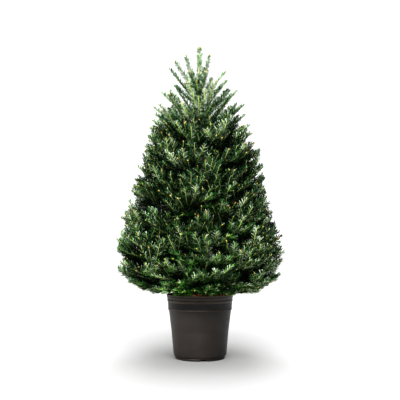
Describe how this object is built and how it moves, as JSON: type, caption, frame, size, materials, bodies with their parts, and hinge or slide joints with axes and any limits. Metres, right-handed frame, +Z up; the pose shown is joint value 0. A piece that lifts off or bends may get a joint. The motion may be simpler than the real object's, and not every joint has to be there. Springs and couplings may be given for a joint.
{
  "type": "potted fraser fir",
  "caption": "Dense cone-shaped young fir with upswept needle shoots, growing in a tapered round nursery pot of dark plastic.",
  "frame": {"origin": "centre of the pot's flat underside, on the ground", "axes": "+Z up along the trunk, -Y towards the viewer of the front, +X to that viewer's right"},
  "size_m": [0.6863, 0.6922, 1.321],
  "materials": {
    "pot_plastic": "satin brown-black moulded plastic",
    "compost": "moist bark compost",
    "bark": "grey-brown young bark",
    "needles": "glossy dark green needles, silvery below"
  },
  "bodies": {
    "root": {"pot": "pot_plastic", "soil": "compost", "trunk": "bark", "bough_1_1": "bark", "bough_1_2": "bark", "bough_1_3": "bark", "bough_1_4": "bark", "bough_1_5": "bark", "bough_1_6": "bark", "bough_2_1": "bark", "bough_2_2": "bark", "bough_2_3": "bark", "bough_2_4": "bark", "bough_2_5": "bark", "bough_2_6": "bark", "bough_3_1": "bark", "bough_3_2": "bark", "bough_3_3": "bark", "bough_3_4": "bark", "bough_3_5": "bark", "bough_3_6": "bark", "bough_4_1": "bark", "bough_4_2": "bark", "bough_4_3": "bark", "bough_4_4": "bark", "bough_4_5": "bark", "foliage_1_1": "needles", "foliage_1_2": "needles", "foliage_1_3": "needles", "foliage_1_4": "needles", "foliage_1_5": "needles", "foliage_1_6": "needles", "foliage_2_1": "needles", "foliage_2_2": "needles", "foliage_2_3": "needles", "foliage_2_4": "needles", "foliage_2_5": "needles", "foliage_2_6": "needles", "foliage_3_1": "needles", "foliage_3_2": "needles", "foliage_3_3": "needles", "foliage_3_4": "needles", "foliage_3_5": "needles", "foliage_3_6": "needles", "foliage_4_1": "needles", "foliage_4_2": "needles", "foliage_4_3": "needles", "foliage_4_4": "needles", "foliage_4_5": "needles", "foliage_5_1": "needles", "foliage_5_2": "needles", "foliage_5_3": "needles", "foliage_5_4": "needles", "foliage_6_1": "needles", "foliage_6_2": "needles", "foliage_6_3": "needles", "foliage_leader": "needles"}
  },
  "joints": []
}
